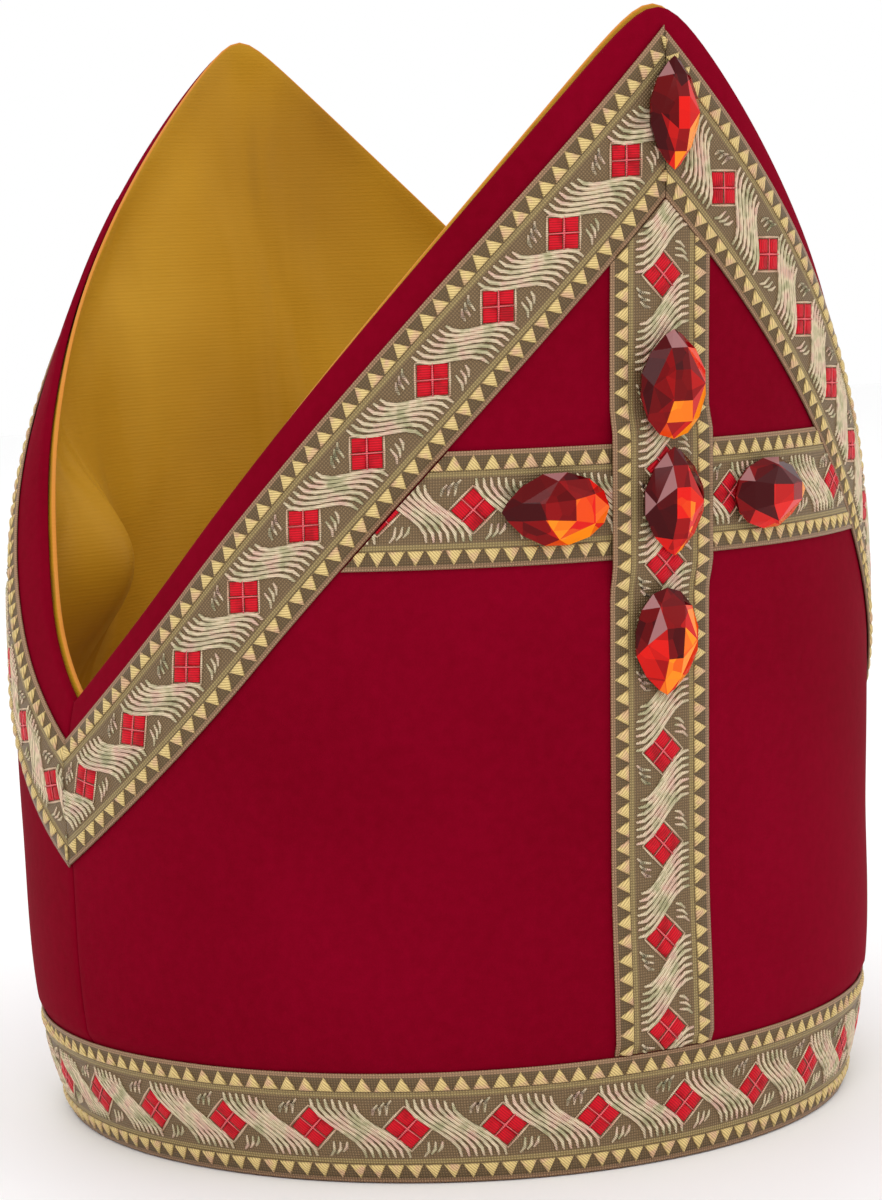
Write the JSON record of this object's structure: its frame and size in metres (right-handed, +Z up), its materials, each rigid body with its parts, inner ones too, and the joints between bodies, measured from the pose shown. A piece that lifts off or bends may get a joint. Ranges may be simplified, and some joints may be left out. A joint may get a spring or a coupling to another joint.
{
  "type": "bishop mitre",
  "caption": "Open-topped ceremonial hat with a pointed front and back, gold lining, woven braid trim, a cross and flat-backed stones.",
  "frame": {"origin": "middle of the whole, on the surface that the hem stands on", "axes": "+Z up through the peaks, front of the mitre towards -Y, wearer's left towards +X"},
  "size_m": [0.2126, 0.217, 0.2593],
  "materials": {
    "cloth": "smooth crimson velvet-like cloth",
    "lining": "plain mustard-gold satin lining",
    "braid": "woven metallic gold braid with red diamonds",
    "stone": "faceted flame-red acrylic, foil-backed"
  },
  "bodies": {
    "root": {"front_panel": "cloth", "back_panel": "cloth", "front_lining": "lining", "back_lining": "lining", "hem_braid": "braid", "front_braid_left": "braid", "front_braid_right": "braid", "back_braid_left": "braid", "back_braid_right": "braid", "cross_bar": "braid", "cross_upright": "braid", "stone_apex": "stone", "stone_top": "stone", "stone_center": "stone", "stone_bottom": "stone", "stone_left": "stone", "stone_right": "stone"}
  },
  "joints": []
}
